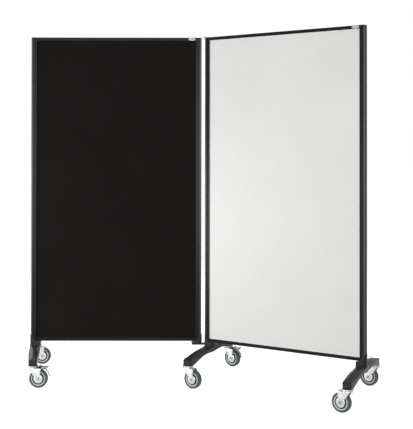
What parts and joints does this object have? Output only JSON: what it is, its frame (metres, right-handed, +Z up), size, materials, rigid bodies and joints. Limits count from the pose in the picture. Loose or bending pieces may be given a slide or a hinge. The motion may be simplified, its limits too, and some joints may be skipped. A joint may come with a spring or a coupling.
{
  "type": "rolling partition",
  "caption": "Free-standing rolling room divider: framed panels joined by an upright pin hinge, fabric on one face and dry-erase board on the other, on arched black bases with swivel casters.",
  "frame": {"origin": "on the floor, under the middle of the partition's overall footprint as it stands half folded", "axes": "+Z up; +X along the partition's length, from the left panel towards the right one; the left panel's front faces -Y"},
  "size_m": [1.8817, 1.0484, 1.8262],
  "materials": {
    "frame_black": "satin black anodised extrusion",
    "core_board": "plain fibre board",
    "tack_fabric": "woven black cloth over fibre board",
    "dry_erase": "white melamine, half gloss",
    "cap_plastic": "moulded black",
    "badge_plate": "blank polished plate",
    "cast_black": "black powder coat over casting",
    "link_black": "black powder coat",
    "zinc_plate": "zinc plated",
    "fork_zinc": "bright zinc plated pressing",
    "pedal_zinc": "zinc plated pressing",
    "wheel_core": "moulded",
    "tread_rubber": "soft grey rubber",
    "axle_zinc": "bright zinc plated",
    "bolt_zinc": "zinc plated"
  },
  "bodies": {
    "right_panel": {"right_hinge_post": "frame_black", "right_outer_post": "frame_black", "right_top_rail": "frame_black", "right_bottom_rail": "frame_black", "right_core": "core_board", "right_board_face": "dry_erase", "right_fabric_face": "tack_fabric", "right_post_caps": "cap_plastic", "right_corner_screws": "bolt_zinc", "right_badge": "badge_plate", "middle_base": "cast_black", "right_base": "cast_black", "right_top_plate": "zinc_plate", "hinge_pins": "bolt_zinc", "right_bolts": "bolt_zinc", "right_caster_stems": "bolt_zinc"},
    "left_panel": {"left_outer_post": "frame_black", "left_hinge_post": "frame_black", "left_top_rail": "frame_black", "left_bottom_rail": "frame_black", "left_core": "core_board", "left_fabric_face": "tack_fabric", "left_board_face": "dry_erase", "left_post_caps": "cap_plastic", "left_corner_screws": "bolt_zinc", "left_badge": "badge_plate", "left_base": "cast_black", "left_hinge_foot": "cast_black", "left_bottom_link": "link_black", "left_top_plate": "zinc_plate", "left_bolts": "bolt_zinc", "left_caster_stems": "bolt_zinc"},
    "left_front_caster": {"left_front_fork": "fork_zinc", "left_front_axle": "axle_zinc"},
    "left_front_wheel_set": {"left_front_wheel": "wheel_core", "left_front_tyre": "tread_rubber"},
    "left_front_brake": {"left_front_pedal": "pedal_zinc"},
    "left_rear_caster": {"left_rear_fork": "fork_zinc", "left_rear_axle": "axle_zinc"},
    "left_rear_wheel_set": {"left_rear_wheel": "wheel_core", "left_rear_tyre": "tread_rubber"},
    "middle_front_caster": {"middle_front_fork": "fork_zinc", "middle_front_axle": "axle_zinc"},
    "middle_front_wheel_set": {"middle_front_wheel": "wheel_core", "middle_front_tyre": "tread_rubber"},
    "middle_rear_caster": {"middle_rear_fork": "fork_zinc", "middle_rear_axle": "axle_zinc"},
    "middle_rear_wheel_set": {"middle_rear_wheel": "wheel_core", "middle_rear_tyre": "tread_rubber"},
    "middle_rear_brake": {"middle_rear_pedal": "pedal_zinc"},
    "right_front_caster": {"right_front_fork": "fork_zinc", "right_front_axle": "axle_zinc"},
    "right_front_wheel_set": {"right_front_wheel": "wheel_core", "right_front_tyre": "tread_rubber"},
    "right_rear_caster": {"right_rear_fork": "fork_zinc", "right_rear_axle": "axle_zinc"},
    "right_rear_wheel_set": {"right_rear_wheel": "wheel_core", "right_rear_tyre": "tread_rubber"}
  },
  "joints": [
    {"name": "panel_hinge", "type": "hinge", "parent": "right_panel", "child": "left_panel", "pos_m": [0.03313, 0.2303, 0.9], "axis": [0, 0, 1], "range_deg": [-120, 56]},
    {"name": "left_front_swivel", "type": "hinge", "parent": "left_panel", "child": "left_front_caster", "pos_m": [-0.83757, -0.03509, 0.1078], "axis": [0, 0, 1], "continuous": true},
    {"name": "left_front_roll", "type": "hinge", "parent": "left_front_caster", "child": "left_front_wheel_set", "pos_m": [-0.80757, -0.03509, 0.0475], "axis": [0, 1, 0], "continuous": true},
    {"name": "left_front_brake", "type": "hinge", "parent": "left_front_caster", "child": "left_front_brake", "pos_m": [-0.79957, -0.03509, 0.1064], "axis": [0, 1, 0], "range_deg": [0, 7]},
    {"name": "left_rear_swivel", "type": "hinge", "parent": "left_panel", "child": "left_rear_caster", "pos_m": [-0.91217, 0.49569, 0.1078], "axis": [0, 0, 1], "continuous": true},
    {"name": "left_rear_roll", "type": "hinge", "parent": "left_rear_caster", "child": "left_rear_wheel_set", "pos_m": [-0.88216, 0.49569, 0.0475], "axis": [0, 1, 0], "continuous": true},
    {"name": "middle_front_swivel", "type": "hinge", "parent": "right_panel", "child": "middle_front_caster", "pos_m": [-0.04534, -0.0336, 0.1078], "axis": [0, 0, 1], "continuous": true},
    {"name": "middle_front_roll", "type": "hinge", "parent": "middle_front_caster", "child": "middle_front_wheel_set", "pos_m": [-0.02047, -0.05038, 0.0475], "axis": [0.5592, 0.829, 0], "continuous": true},
    {"name": "middle_rear_swivel", "type": "hinge", "parent": "right_panel", "child": "middle_rear_caster", "pos_m": [0.17267, 0.45606, 0.1078], "axis": [0, 0, 1], "continuous": true},
    {"name": "middle_rear_roll", "type": "hinge", "parent": "middle_rear_caster", "child": "middle_rear_wheel_set", "pos_m": [0.19631, 0.43759, 0.0475], "axis": [0.6157, 0.788, 0], "continuous": true},
    {"name": "middle_rear_brake", "type": "hinge", "parent": "middle_rear_caster", "child": "middle_rear_brake", "pos_m": [0.20261, 0.43266, 0.1064], "axis": [0.6157, 0.788, 0], "range_deg": [0, 7]},
    {"name": "right_front_swivel", "type": "hinge", "parent": "right_panel", "child": "right_front_caster", "pos_m": [0.69415, -0.49569, 0.1078], "axis": [0, 0, 1], "continuous": true},
    {"name": "right_front_roll", "type": "hinge", "parent": "right_front_caster", "child": "right_front_wheel_set", "pos_m": [0.66958, -0.47849, 0.0475], "axis": [-0.5736, -0.8192, 0], "continuous": true},
    {"name": "right_rear_swivel", "type": "hinge", "parent": "right_panel", "child": "right_rear_caster", "pos_m": [0.91217, -0.00603, 0.1078], "axis": [0, 0, 1], "continuous": true},
    {"name": "right_rear_roll", "type": "hinge", "parent": "right_rear_caster", "child": "right_rear_wheel_set", "pos_m": [0.88701, 0.01031, 0.0475], "axis": [-0.5446, -0.8387, 0], "continuous": true}
  ]
}
